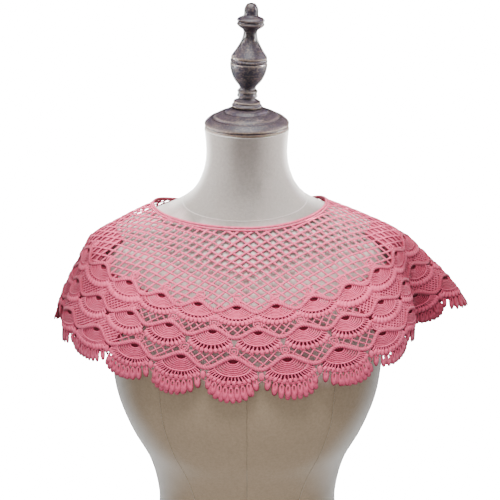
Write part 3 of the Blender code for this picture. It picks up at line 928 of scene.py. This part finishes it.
def wobbled(x, y):
    """The place with a slow wobble, which fades out towards the back."""
    fade = (1 + np.cos(np.arctan2(x, -y))) / 2
    x = x + fade * (1.3 * np.sin(y / 21 + 0.7) + 0.9 * np.sin(x / 13 + y / 31))
    y = y + fade * (1.1 * np.sin(x / 19 + 1.9) + 0.8 * np.sin(y / 11 - x / 27))
    return x, y


def lay_yoke(work, ends):
    run = np.arange(-YOKE_REACH, YOKE_REACH, 1.0)
    for family in (0, 1):
        for number in range(-YOKE_LINES, YOKE_LINES + 1):
            fixed = np.full(run.shape, (number + MESH_SHIFT) * MESH)
            a, b = (fixed, run) if family == 0 else (run, fixed)
            x, y = wobbled((a - b) / sqrt(2), -(a + b) / sqrt(2) * FLATTENED)
            angle, down = np.arctan2(x, -y), np.hypot(x, y) - CONE_INNER
            repeat = angle / CONE_ANGLE * REPEATS
            inside = (down > NET_FROM) & (down < rope_line(repeat, TIERS[0]) - NET_STOPS)
            inside &= np.abs(angle) < CONE_ANGLE / 2
            inside &= (repeat - ends[0]) % REPEATS < ends[1] - ends[0]
            over = np.cos(pi * (run / MESH - MESH_SHIFT)) * (-1) ** (number + family)
            plump = 1 + 0.2 * np.sin(run / 5.3 + number * 1.7) * np.sin(run / 17.0 + number * 2.9)
            for first, last in runs_of(inside, 3):
                picks = np.unique(np.append(np.arange(first, last, 2), last - 1))
                lift, wide = NET_LIFT + NET_WEAVE * over[picks], NET_HALF_WIDTH * plump[picks]
                work.cord(repeat[picks], down[picks], lift, wide, NET_HALF_HEIGHT, sides=6)


print("flat yoke: a ring of", round(CONE_INNER), "mm radius over", round(CONE_ANGLE, 2), "radians")

# %% [markdown]
# ## Put the lace together
# The front and the back are joined where the solids join them, beside a fan. Each half is four pieces: the
# net of the yoke, the fans with their knots, the wavy cords, and the fine thread in and behind the border.
# So each keeps its own thread finish and a fair number of faces.

# %% Lay the lace
lace = {}
for half, *ends in HALVES:
    net, fans, ropes, fine = (ThreadWork() for _ in range(4))
    lay_yoke(net, ends)
    lay_ropes(ropes, ends)
    for tier, tier_below in zip(TIERS, (*TIERS[1:], None)):
        centres = fan_centres(tier, ends)
        for lay, work in (
            (lay_fans, fans), (lay_ladders, fans), (lay_puffs, fans), (lay_tabs, fine), (lay_shade_cords, fine)
        ):
            lay(work, tier, centres)
        if tier_below:
            lay_fine_net(fine, tier, tier_below, ends)
    lay_lining_net(fine, ends)
    for lay in (lay_petals, lay_knobs):
        lay(fans, fan_centres(TIERS[-1], ends))
    lace[half] = {
        "net": net.finish(f"yoke_net_{half}", NET_PINK),
        "fans": fans.finish(f"fan_border_{half}", FAN_PINK),
        "ropes": ropes.finish(f"wavy_cords_{half}", ROPE_PINK),
        "fine": fine.finish(f"fine_net_{half}", FAN_PINK),
    }

# %% [markdown]
# ## The neckline
# Two twisted cords side by side bind the neckline. Small stitches run over both and hold the net's ends, so
# the net looks sewn in and not just cut off.

# %% Neckline cords
NECK_CORDS = (
    # down, lift, half width
    (-0.6, 2.3, 1.7),
    (2.4, 1.7, 1.4),
)
NECK_TWIST = 6.0
NECK_STITCHES = 5  # to a repeat
STITCH_ROUND, STITCH_DOWN = np.array([0, 0.02, 0.04]), np.array([-0.5, 1.3, 3.0])
STITCH_LIFT = (2.5, 2.2, 1.8)


def lay_neckline(work):
    repeat = np.linspace(0, REPEATS, REPEATS * 40 + 1)
    for down, lift, wide in NECK_CORDS:
        work.cord(repeat, down, lift, wide, wide * 0.9, sides=12, twist=NECK_TWIST)
    for stitch in np.arange(0, REPEATS, 1 / NECK_STITCHES):
        work.cord(stitch + STITCH_ROUND, STITCH_DOWN, STITCH_LIFT, 0.7, 0.6, sides=6)


binding = ThreadWork()
lay_neckline(binding)
neckline = binding.finish("neckline_cords", NET_PINK)

# %% [markdown]
# ## The cover's cloth
# The form's cover is a fine plain weave whose tone changes up the form. Below the collar it is a warm
# greige. Under the border it is painted paler and pink, which is painted light and a painted pink reflection
# from the lace; round the neckline that painted light is weaker, and up the neck it is greyer. The weave is
# crossed sets of threads from sine waves, the change is a slow blend with height broken up by noise, and
# lint speckles it all. Seams use the same group with tones of their own.

# %% Group: plain weave
PAINTED_LACE_LIGHT_AT = (0.455, 0.485)  # heights in metres between which one tone turns to the next
PAINTED_NECKLINE_LIGHT_AT = (0.585, 0.625)
NECK_AT = (0.634, 0.650)
BLOTCHED = 0.06  # metres by which noise moves those heights
LINT_SHADE = (0.86, 0.85, 0.84, 1)


def plain_weave():
    group, given, made = node_group(
        "plain weave",
        {"Painted Neckline Light": "Color", "Torso": "Color", "Neck": "Color", "Painted Lace Light": "Color", "Threads": "Float"},
        {"Colour": "Color", "Height": "Float"},
    )
    place = wire(group, "SeparateXYZ", Vector=wire(group, "TexCoord").outputs["Object"]).outputs
    waves = []
    for axis in ("X", "Y", "Z"):
        turns = maths(group, "MULTIPLY", place[axis], given["Threads"])
        waves.append(maths(group, "SINE", maths(group, "MULTIPLY", turns, 2 * pi)))
    weft = maths(group, "ADD", waves[0], waves[1])
    weave = maths(group, "ADD", maths(group, "MULTIPLY", weft, waves[2]), 2.0)
    blotch, lint = noise(group, 9.0, 4.0, 0.55), noise(group, 300.0, 4.0, 0.7)
    level = maths(group, "ADD", place["Z"], maths(group, "MULTIPLY", blotch, BLOTCHED))
    # Painted light: paler and pinker under the border and round the neckline, a painted reflection from the
    # lace
    tone = mixed(group, ranged(group, level, *PAINTED_NECKLINE_LIGHT_AT), given["Painted Lace Light"], given["Painted Neckline Light"])
    tone = mixed(group, ranged(group, level, *PAINTED_LACE_LIGHT_AT), given["Torso"], tone)
    tone = mixed(group, ranged(group, level, *NECK_AT), tone, given["Neck"])
    darker = mixed(group, 1.0, tone, LINT_SHADE, blend="MULTIPLY")
    speck = ranged(group, lint, 0.36, 0.64, "LINEAR")
    feed(group, made["Colour"], mixed(group, speck, darker, tone))
    feed(group, made["Height"], maths(group, "MULTIPLY_ADD", weave, 0.2, lint))
    return group


WEAVE = plain_weave()
print("group:", WEAVE.name)

# %% [markdown]
# Where the cloth is seen edge on, a pale tone is painted into its colour: a painted sheen. Layer Weight
# finds those edges and mixes that tone in there. It stays in the material, because an export can't read it
# inside a group.

# %% Cover and seam cloth
COVER_FINISH = {"Roughness": 0.88, "Sheen Weight": 0.8, "Sheen Roughness": 0.3}
EDGE_SHEEN = (0.74, 0.71, 0.67, 1)
EDGE_SHEEN_AT = (0.45, 0.95)  # how far towards the edge the painted sheen begins, and where it is full


def cover(name, painted_neckline_light, torso, neck, painted_lace_light, threads):
    """Cloth in four tones, with this many threads to the metre."""
    material, tree, shader = new_material(name, COVER_FINISH)
    values = {"Painted Neckline Light": painted_neckline_light, "Torso": torso, "Neck": neck, "Painted Lace Light": painted_lace_light, "Threads": threads}
    cloth = from_group(tree, WEAVE, values)
    # Painted sheen: a pale tone mixed in where the cloth is seen edge on
    edge_sheen = ranged(tree, wire(tree, "LayerWeight", Blend=0.5).outputs["Facing"], *EDGE_SHEEN_AT)
    feed(tree, shader.inputs["Base Color"], mixed(tree, edge_sheen, cloth["Colour"], EDGE_SHEEN))
    bumped(tree, shader, cloth["Height"], 0.2 * MM, 0.7)
    return material


# The pale pinks under the lace and round the neckline are painted light and a painted pink reflection
COVER = cover(
    "form cover", (0.56, 0.43, 0.415), (0.35, 0.257, 0.17), (0.205, 0.180, 0.162), (0.74, 0.52, 0.50), 900.0
)
SEAM_CLOTH = cover(
    "cover seam", (0.46, 0.35, 0.35), (0.29, 0.215, 0.14), (0.32, 0.287, 0.26), (0.70, 0.49, 0.47), 700.0
)
print("cloths:", COVER.name, SEAM_CLOTH.name)

# %% [markdown]
# ## The dress form
# The form is a hard body in that cover. Its level sections are a table of widths and depths, and it is
# lofted smoothly with far more columns than the solid has: bmesh makes a circle for each height, moves its
# points to the section, and bridges it to the next.

# %% Dress form
NECK_TOP = 712.7
SECTIONS = (
    # height, half, front, back, power
    (0, 167, 116, 120, 2.3),
    (60, 160, 110, 117, 2.3),
    (120, 139, 100, 106, 2.3),
    (182, 121.5, 94, 92, 2.3),
    (226, 124.5, 102, 92, 2.3),
    (273, 136, 120, 97, 2.3),
    (319, 158, 142, 104, 2.25),
    (363, 173, 156, 110, 2.2),
    (420, 180, 161, 118, 2.1),
    (467, 186, 152, 122, 2.05),
    (520, 190, 133, 117, 1.9),
    (550, 190, 118, 109, 1.8),
    (569, 186, 107, 99, 1.75),
    (582, 171, 98, 91, 1.75),
    (594, 144, 88, 81, 1.8),
    (604, 118, 80, 71, 1.85),
    (614, 94, 72, 64, 1.9),
    (625, 75, 64, 59, 1.95),
    (638, 63.5, 57, 55, 2.0),
    (654, 56, 53, 53, 2.0),
    (NECK_TOP, 53, 52, 52, 2.0),
)
FORM_COLUMNS = 120
TORSO_HEIGHTS, SHOULDER_HEIGHTS = np.arange(0, 540, 12.0), np.arange(540, 660, 4.0)
FORM_HEIGHTS = np.concatenate([TORSO_HEIGHTS, SHOULDER_HEIGHTS, np.linspace(660, NECK_TOP, 8)])
FORM_CREASE = 50  # degrees


def form_point(azimuth, height, proud=0.0):
    """Points of the form's surface, in millimetres, at an azimuth from the front and a height."""
    azimuth, height = np.broadcast_arrays(np.asarray(azimuth, float), np.asarray(height, float))
    rows = np.stack([through(SECTIONS, float(level)) for level in height.ravel()])
    half, front, back, power = rows.T.reshape(4, *height.shape)
    across, ahead = np.sin(azimuth), np.cos(azimuth)
    depth = np.where(ahead > 0, front, back)
    x = np.sign(across) * (half + proud) * np.abs(across) ** (2 / power)
    y = -np.sign(ahead) * (depth + proud) * np.abs(ahead) ** (2 / power)
    return np.stack([x, y, height], axis=-1)


def mesh_of(work, name):
    """The bmesh as a mesh."""
    mesh = bpy.data.meshes.new(name)
    work.to_mesh(mesh)
    work.free()
    return mesh


def lofted_form():
    work = bmesh.new()
    azimuth = 2 * pi * np.arange(FORM_COLUMNS) / FORM_COLUMNS
    rounds = []
    for height in FORM_HEIGHTS:
        verts = bmesh.ops.create_circle(work, segments=FORM_COLUMNS, radius=1.0)["verts"]
        for vert, point in zip(verts, form_point(azimuth, height)):
            vert.co = Vector(point) * MM
        rounds.append(list(dict.fromkeys(edge for vert in verts for edge in vert.link_edges)))
    for lower, upper in zip(rounds, rounds[1:]):
        bmesh.ops.bridge_loops(work, edges=lower + upper)
    for edges in (rounds[0], rounds[-1]):
        bmesh.ops.contextual_create(work, geom=edges)
    bmesh.ops.recalc_face_normals(work, faces=work.faces[:])
    return mesh_of(work, "form_cover")


form_cover = piece_of(lofted_form(), FORM_CREASE, COVER)

# %% [markdown]
# The cover is sewn from panels, so a seam runs down the centre front and back, over each side of the bust,
# down both sides, and round the root of the neck. A seam stands up as a thin soft ridge, so each is laid as
# a fine cord half sunk in the cover, and it follows the surface exactly.

# %% Form seams
SEAM_HALF_WIDTH, SEAM_HALF_HEIGHT, SEAM_PROUD = 0.75, 0.42, 0.1
SEAM_STEP = 6.0
SIDE_SEAM, SIDE_SEAM_TOP = 88, 575  # degrees from the front, and height
NECK_SEAM = (624.0, 10.0, 1.6)  # height at the sides, dip at the front, rise to the right
PRINCESS = ((4, 24), (182, 27), (319, 33), (420, 36), (520, 40), (560, 47), (584, 58))  # height, degrees
BACK_NARROWER = 0.9  # degrees from the middle of the back, by those from the front


def lay_seam(work, azimuth, height):
    centre = form_point(azimuth, height, SEAM_PROUD)
    around = form_point(azimuth + 0.01, height) - form_point(azimuth - 0.01, height)
    upward = form_point(azimuth, height + 1.0) - form_point(azimuth, height - 1.0)
    work.tube(centre, unit(np.cross(around, upward)), SEAM_HALF_WIDTH, SEAM_HALF_HEIGHT, 6)


def lay_seams(work):
    level, dip, rise = NECK_SEAM
    up = np.arange(2.0, NECK_TOP, SEAM_STEP)
    for middle in (0.0, pi):
        lay_seam(work, middle, up[up < level - dip])
    for side in (-1, 1):
        lay_seam(work, side * radians(SIDE_SEAM), up[up < SIDE_SEAM_TOP])
        heights, degrees = np.array(PRINCESS, float).T
        rows = np.arange(heights[0], heights[-1], SEAM_STEP)
        lean = np.interp(rows, heights, degrees)
        lay_seam(work, side * np.radians(lean), rows)
        lay_seam(work, side * np.radians(180 - lean * BACK_NARROWER), rows)
    turn = np.linspace(0, 2 * pi, 97)
    lay_seam(work, turn, level - dip * np.cos(turn) + rise * np.sin(turn))


seams = ThreadWork()
lay_seams(seams)
form_seams = seams.finish("form_seams", SEAM_CLOTH)

# %% [markdown]
# ## Painted wood
# The paint is nearly black with a violet cast, and dusty grey brown shows on the worn rims and in thin
# streaks round the piece, as a lathe leaves them. On the rims it is laid on strongly enough to stand for the
# highlights along the ridges as well, a painted highlight. Wear on the rims and streaks in the flats are
# both masks that blend the same two colours, and worn places are rougher.

# %% Painted wood
PAINT = ((0.002, 0.003, 0.016, 1), (0.019, 0.011, 0.015, 1))
WORN_WOOD = (0.38, 0.27, 0.18, 1)
ROUGH = (0.46, 0.65)  # whole and worn paint
# Rim wear is strong enough to be partly a painted highlight along the ridges
RIM_WEAR_AND_HIGHLIGHT, FLAT_WEAR = 0.9, 0.16


def painted_wood(name):
    material, tree, shader = new_material(name, {"Specular IOR Level": 0.32})
    place = wire(tree, "TexCoord").outputs["Object"]
    stretched = wire(tree, "Mapping", Vector=place, Scale=(1.0, 1.0, 5.0))
    streaks = noise(tree, 70.0, 5.0, 0.65, stretched.outputs["Vector"])
    chips, clouds = noise(tree, 420.0, 4.0, 0.7), noise(tree, 22.0, 3.0, 0.55)
    worn = wire(tree, "Attribute", attribute_name="worn").outputs["Fac"]
    # Worn paint on the rims, partly a painted highlight along the ridges
    rim_wear_and_highlight = maths(tree, "MULTIPLY", worn, maths(tree, "MULTIPLY_ADD", chips, 1.5, 0.5))
    streak = ranged(tree, streaks, 0.55, 0.74, "LINEAR")
    speck = ranged(tree, chips, 0.48, 0.66, "LINEAR")
    thin = maths(tree, "MULTIPLY", maths(tree, "ADD", speck, streak), FLAT_WEAR)
    wear_and_highlight = maths(tree, "MULTIPLY_ADD", rim_wear_and_highlight, RIM_WEAR_AND_HIGHLIGHT, thin)
    wear_and_highlight.node.use_clamp = True
    feed(tree, shader.inputs["Base Color"], mixed(tree, wear_and_highlight, mixed(tree, clouds, *PAINT), WORN_WOOD))
    feed(tree, shader.inputs["Roughness"], ranged(tree, wear_and_highlight, 0.0, 1.0, "LINEAR", ROUGH))
    bumped(tree, shader, maths(tree, "ADD", streaks, chips), 0.35 * MM, 0.8)
    return material


WOOD = painted_wood("worn painted wood")
print("wood:", WOOD.name)

# %% [markdown]
# ## Cap and finial
# The cap and finial were turned on a lathe, painted dark and have worn with handling. A lathe is a spin, so
# each one is a profile that bmesh spins about its axis. A loop count of sixty-four keeps the rims round.
# Each point also carries how far it stands out from its neighbours, and the paint wears through there. That
# wear is laid on strongly enough to stand for the highlights on the ridges as well, a painted highlight.

# %% Cap and finial
CAP_BOTTOM, FINIAL_FOOT, FINIAL_LEAN = 713.0, 739.2, 2.7  # heights, and degrees to the right
CAP_PROFILE = (
    # radius, height above the cap's bottom
    (0, 25.0), (19.5, 25.0), (24.6, 23.4), (26.2, 21.4), (27.4, 20.0), (29.6, 20.9), (33.0, 19.6),
    (39.6, 16.3), (41.2, 13.6), (43.0, 13.0), (45.0, 14.0), (50.4, 9.8), (52.6, 7.2), (53.0, 5.6),
    (51.4, 4.2), (52.6, 2.6), (51.2, 0.0), (0, 0.0),
)
FINIAL_PROFILE = (
    # radius, height above the foot
    (0, 128.5), (5.6, 127.3), (9.0, 121.0), (8.6, 112.4), (14.6, 110.6), (17.6, 107.6), (15.4, 105.1),
    (17.6, 102.6), (14.4, 99.0), (7.9, 95.0), (9.6, 84.0), (16.4, 71.7), (22.8, 62.6), (21.6, 60.4),
    (23.4, 58.2), (21.8, 56.4), (23.4, 54.2), (21.8, 44.5), (17.8, 34.6), (8.9, 24.4), (13.4, 20.6),
    (11.4, 17.3), (13.4, 14.0), (9.6, 11.0), (17.6, 7.6), (16.2, 5.0), (19.4, 2.6), (18.2, 0.0), (0, 0.0),
)
CORNER_CUT, CORNER_ROUNDS = 0.22, 2  # share of a line cut off at each corner, and how often
SPIN_STEPS, WOOD_CREASE = 64, 60
WORN_FROM, WORN_OVER = 0.1, 0.25  # millimetres that a point stands out where wear and its painted highlight begin, and to full wear


def rounded(profile):
    """The profile with its corners cut, so that beads are round and coves are smooth."""
    line = np.array(profile, float)
    for _ in range(CORNER_ROUNDS):
        cut = [line[0]]
        for one, other in zip(line, line[1:]):
            cut += [one + (other - one) * share for share in (CORNER_CUT, 1 - CORNER_CUT)]
        line = np.array([*cut, line[-1]])
    return line


def turned(name, profile, foot, lean):
    work = bmesh.new()
    verts = [work.verts.new((radius * MM, 0, level * MM)) for radius, level in rounded(profile)]
    for upper, lower in zip(verts, verts[1:]):
        work.edges.new((upper, lower))
    line = work.verts[:] + work.edges[:]
    bmesh.ops.spin(
        work, geom=line, axis=(0, 0, 1), cent=(0, 0, 0), angle=2 * pi, steps=SPIN_STEPS, use_merge=True
    )
    bmesh.ops.remove_doubles(work, verts=work.verts[:], dist=0.02 * MM)
    bmesh.ops.recalc_face_normals(work, faces=work.faces[:])
    # How far each point stands out: worn paint there, also a painted highlight on the ridges
    worn = work.verts.layers.float.new("worn")
    for vert in work.verts:
        beside = [edge.other_vert(vert).co for edge in vert.link_edges]
        middle = sum(beside, Vector()) / len(beside)
        proud = (vert.co - middle).dot(vert.normal) / MM
        vert[worn] = min(1.0, max(0.0, (proud - WORN_FROM) / WORN_OVER))
    work.transform(Matrix.Translation((0, 0, foot * MM)) @ Matrix.Rotation(radians(lean), 4, "Y"))
    return piece_of(mesh_of(work, name), WOOD_CREASE, WOOD)


neck_cap = turned("turned_cap", CAP_PROFILE, CAP_BOTTOM, 0.0)
finial = turned("turned_finial", FINIAL_PROFILE, FINIAL_FOOT, FINIAL_LEAN)

# %% [markdown]
# ## What each piece stands for
# Each detailed piece takes the place of the plain solid that it was built on, which is hidden, and is
# attached to the root body. For each half of the lace, the flat width, length and area that it was made to
# when flat are printed.

# %% Replace the solids
def stands_for(piece, node):
    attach(piece, "root")
    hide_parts(node)


for half, pieces in lace.items():
    stands_for(pieces["net"], f"yoke_{half}")
    stands_for(pieces["fans"], f"border_{half}")
    for part in ("ropes", "fine"):
        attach(pieces[part], "root")
stands_for(neckline, "neck_cord")
stands_for(form_cover, "dress_form")
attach(form_seams, "root")
stands_for(neck_cap, "neck_cap")
stands_for(finial, "finial")


def flat_half(top, bottom):
    """Flat width, length and area, in metres, of half the collar between these distances down the cloth."""
    lengths = [ring_length(level) for level in np.linspace(top, bottom, 9)]
    area = float(np.mean(lengths)) / 2 * (bottom - top) * MM**2
    return (lengths[-1] / 2 * MM, (bottom - top) * MM), area


NET_EDGE, BORDER_TOP, BORDER_END = 100.0, 84.0, 207.0
for half, pieces in lace.items():
    flat, area = flat_half(0.0, NET_EDGE)
    print(pieces["net"].name, "flat:", [round(side, 3) for side in flat], "area:", round(area, 4))
    flat, area = flat_half(BORDER_TOP, BORDER_END)
    print(pieces["fans"].name, "flat:", [round(side, 3) for side in flat], "area:", round(area, 4))

# %% [markdown]
# ## Floor and light
# A seamless pale floor, a big soft light overhead and a weaker one in front. The light from above shades
# the underside of every thread and drops the net's shadow on the form, and the one in front opens those
# shadows a little. On each side a small lamp with a grid, which narrows its beam, brightens the edge of the
# neck. The floor and the world glow only for the camera, so the ground is white and adds hardly any light.

# %% Lights
LIGHTS = (
    # name, place, aim, size, watts, width of the beam in degrees
    ("overhead softbox", (0.0, -0.45, 2.3), (0, 0, 0.4), (1.1, 0.9), 124, 180),
    ("left neck light", (-1.3, 0.20, 0.84), (0, 0, 0.735), (0.2, 0.2), 0.9, 13),
    ("right neck light", (1.3, 0.20, 0.84), (0, 0, 0.735), (0.2, 0.2), 0.9, 13),
    ("front softbox", (-0.3, -2.2, 1.5), (0, 0, 0.5), (1.4, 1.4), 20, 180),
)
for name, at, aim, size, watts, beam in LIGHTS:
    lamp = bpy.data.lights.new(name, "AREA")
    lamp.shape = "RECTANGLE"
    lamp.size, lamp.size_y = size
    lamp.energy = watts
    lamp.spread = radians(beam)
    light = placed(name, lamp)
    light.location = at
    light.rotation_euler = (Vector(aim) - Vector(at)).to_track_quat("-Z", "Y").to_euler()
print("lights:", len(LIGHTS))

# %% [markdown]
# The floor is one large grid, a millimetre below the form's flat underside. Light Path tells its material
# and the world's when a ray comes straight from the camera, and only those rays see the glow.

# %% Floor and world
FLOOR_HALF, FLOOR_BELOW = 30.0, 0.001
CAMERA_GLOW, AMBIENT = 20.0, 0.08
PAPER_FINISH = {"Base Color": (0.55, 0.55, 0.55, 1), "Roughness": 0.9, "Emission Color": (1, 1, 1, 1)}


def glow(tree, rest):
    """Bright for rays from the camera, and the rest for all others."""
    seen = wire(tree, "LightPath").outputs["Is Camera Ray"]
    return maths(tree, "MULTIPLY_ADD", seen, CAMERA_GLOW, rest)


paper, paper_tree, paper_shader = new_material("pale paper", PAPER_FINISH)
feed(paper_tree, paper_shader.inputs["Emission Strength"], glow(paper_tree, 0.0))
work = bmesh.new()
bmesh.ops.create_grid(work, x_segments=2, y_segments=2, size=FLOOR_HALF)
bmesh.ops.translate(work, verts=work.verts[:], vec=(0, 0, -FLOOR_BELOW))
floor = piece_of(mesh_of(work, "floor"), FORM_CREASE, paper)

world = bpy.data.worlds.new("studio")
world.use_nodes = True
background = world.node_tree.nodes["Background"]
background.inputs["Color"].default_value = (1, 1, 1, 1)
feed(world.node_tree, background.inputs["Strength"], glow(world.node_tree, AMBIENT))
bpy.context.scene.world = world
